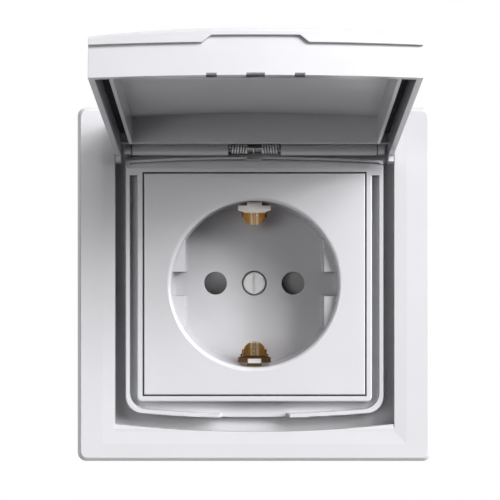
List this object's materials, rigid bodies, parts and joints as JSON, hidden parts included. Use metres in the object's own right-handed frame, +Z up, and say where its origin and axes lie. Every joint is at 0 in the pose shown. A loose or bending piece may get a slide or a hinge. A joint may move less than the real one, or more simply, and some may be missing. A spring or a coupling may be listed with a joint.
{
  "type": "outdoor weatherproof socket",
  "caption": "Flush-mounted weatherproof wall socket with a sprung hinged lid, a round earthed plug recess, shuttered pin holes and a steel support ring for a wall box.",
  "frame": {"origin": "on the axis of the plug recess, in the plane of the wall, which is the back of the support ring and of the frame", "axes": "-Y points out of the wall into the room, +Z up towards the hinge, +X to the right seen from the room"},
  "size_m": [0.0824, 0.1045, 0.0909],
  "materials": {
    "white_gloss": "glossy pure white moulding",
    "black_seal": "soft black seal",
    "grey_foam": "closed-cell foam",
    "steel": "drawn spring steel",
    "zinc_steel": "zinc plated",
    "zinc_sheet": "zinc plated sheet",
    "spring_brass": "bright rolled strip",
    "terminal_brass": "machined",
    "base_plastic": "dark thermoset",
    "shutter_plastic": "grey moulding"
  },
  "bodies": {
    "root": {"frame": "white_gloss", "hinge_carrier": "white_gloss", "centre_plate": "white_gloss", "carrier_gasket": "black_seal", "frame_gasket": "grey_foam", "hinge_pin": "steel", "hinge_spring": "steel", "plate_screw": "zinc_steel", "rivets": "zinc_steel", "terminal_screws": "zinc_steel", "shutter_springs": "steel", "support_ring": "zinc_sheet", "earth_strap": "spring_brass", "pin_contact_left": "spring_brass", "pin_contact_right": "spring_brass", "terminal_left": "terminal_brass", "terminal_right": "terminal_brass", "terminal_earth": "terminal_brass", "socket_base": "base_plastic", "rear_cover": "base_plastic"},
    "lid": {"lid": "white_gloss", "lid_seal": "black_seal"},
    "shutter": {"shutter": "shutter_plastic"}
  },
  "joints": [
    {"name": "lid_hinge", "type": "hinge", "parent": "root", "child": "lid", "pos_m": [0, -0.0102, 0.0315], "axis": [1, 0, 0], "range_deg": [0, 100]},
    {"name": "shutter_slide", "type": "slide", "parent": "root", "child": "shutter", "axis": [0, 0, 1], "range_m": [0, 0.006], "stiffness_N_per_m": 60, "springref_m": -0.002, "deforming": ["shutter_springs"]}
  ]
}
